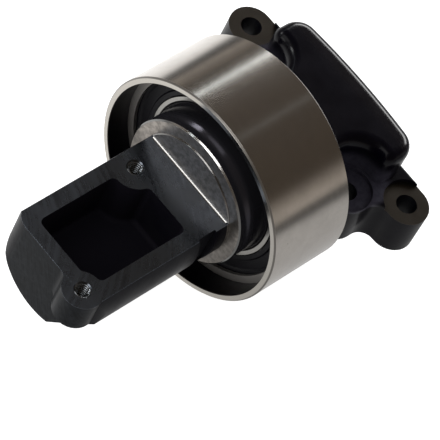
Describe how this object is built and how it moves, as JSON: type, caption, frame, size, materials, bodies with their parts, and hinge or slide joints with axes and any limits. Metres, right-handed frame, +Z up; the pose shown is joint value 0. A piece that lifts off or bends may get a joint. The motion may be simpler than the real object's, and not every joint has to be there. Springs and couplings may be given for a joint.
{
  "type": "timing belt idler pulley",
  "caption": "Timing belt idler pulley: a plain steel tyre on a sealed ball bearing, carried by a black cast bracket with a flat-topped nose and a bolted foot.",
  "frame": {"origin": "on the pulley's turning axis, at the middle of the belt surface", "axes": "+Y along the turning axis from the nose to the foot, +Z up, square to the bolting face and to the nose's flat"},
  "size_m": [0.0922, 0.1366, 0.076],
  "materials": {
    "black_casting": "black paint with machined faces",
    "tyre_steel": "ground",
    "spring_steel": "oiled spring steel",
    "bearing_steel": "ground",
    "seal_rubber": "moulded",
    "cage_steel": "pressed",
    "ball_steel": "polished"
  },
  "bodies": {
    "bracket": {"spindle_bracket": "black_casting", "bearing_inner_ring": "bearing_steel"},
    "pulley": {"pulley_tyre": "tyre_steel", "snap_ring": "spring_steel", "bearing_outer_ring": "bearing_steel", "front_seal": "seal_rubber", "rear_seal": "seal_rubber"},
    "ball_set": {"front_cage_half": "cage_steel", "rear_cage_half": "cage_steel", "cage_rivets": "cage_steel", "ball_01": "ball_steel", "ball_02": "ball_steel", "ball_03": "ball_steel", "ball_04": "ball_steel", "ball_05": "ball_steel", "ball_06": "ball_steel", "ball_07": "ball_steel", "ball_08": "ball_steel", "ball_09": "ball_steel", "ball_10": "ball_steel", "ball_11": "ball_steel", "ball_12": "ball_steel", "ball_13": "ball_steel", "ball_14": "ball_steel", "ball_15": "ball_steel", "ball_16": "ball_steel"}
  },
  "joints": [
    {"name": "pulley_spin", "type": "hinge", "parent": "bracket", "child": "pulley", "pos_m": [0, 0, 0], "axis": [0, 1, 0], "continuous": true},
    {"name": "cage_orbit", "type": "hinge", "parent": "bracket", "child": "ball_set", "pos_m": [0, 0, 0], "axis": [0, 1, 0], "continuous": true}
  ],
  "couplings": [
    {"joint": "cage_orbit", "follows": "pulley_spin", "ratio": 0.5553}
  ]
}
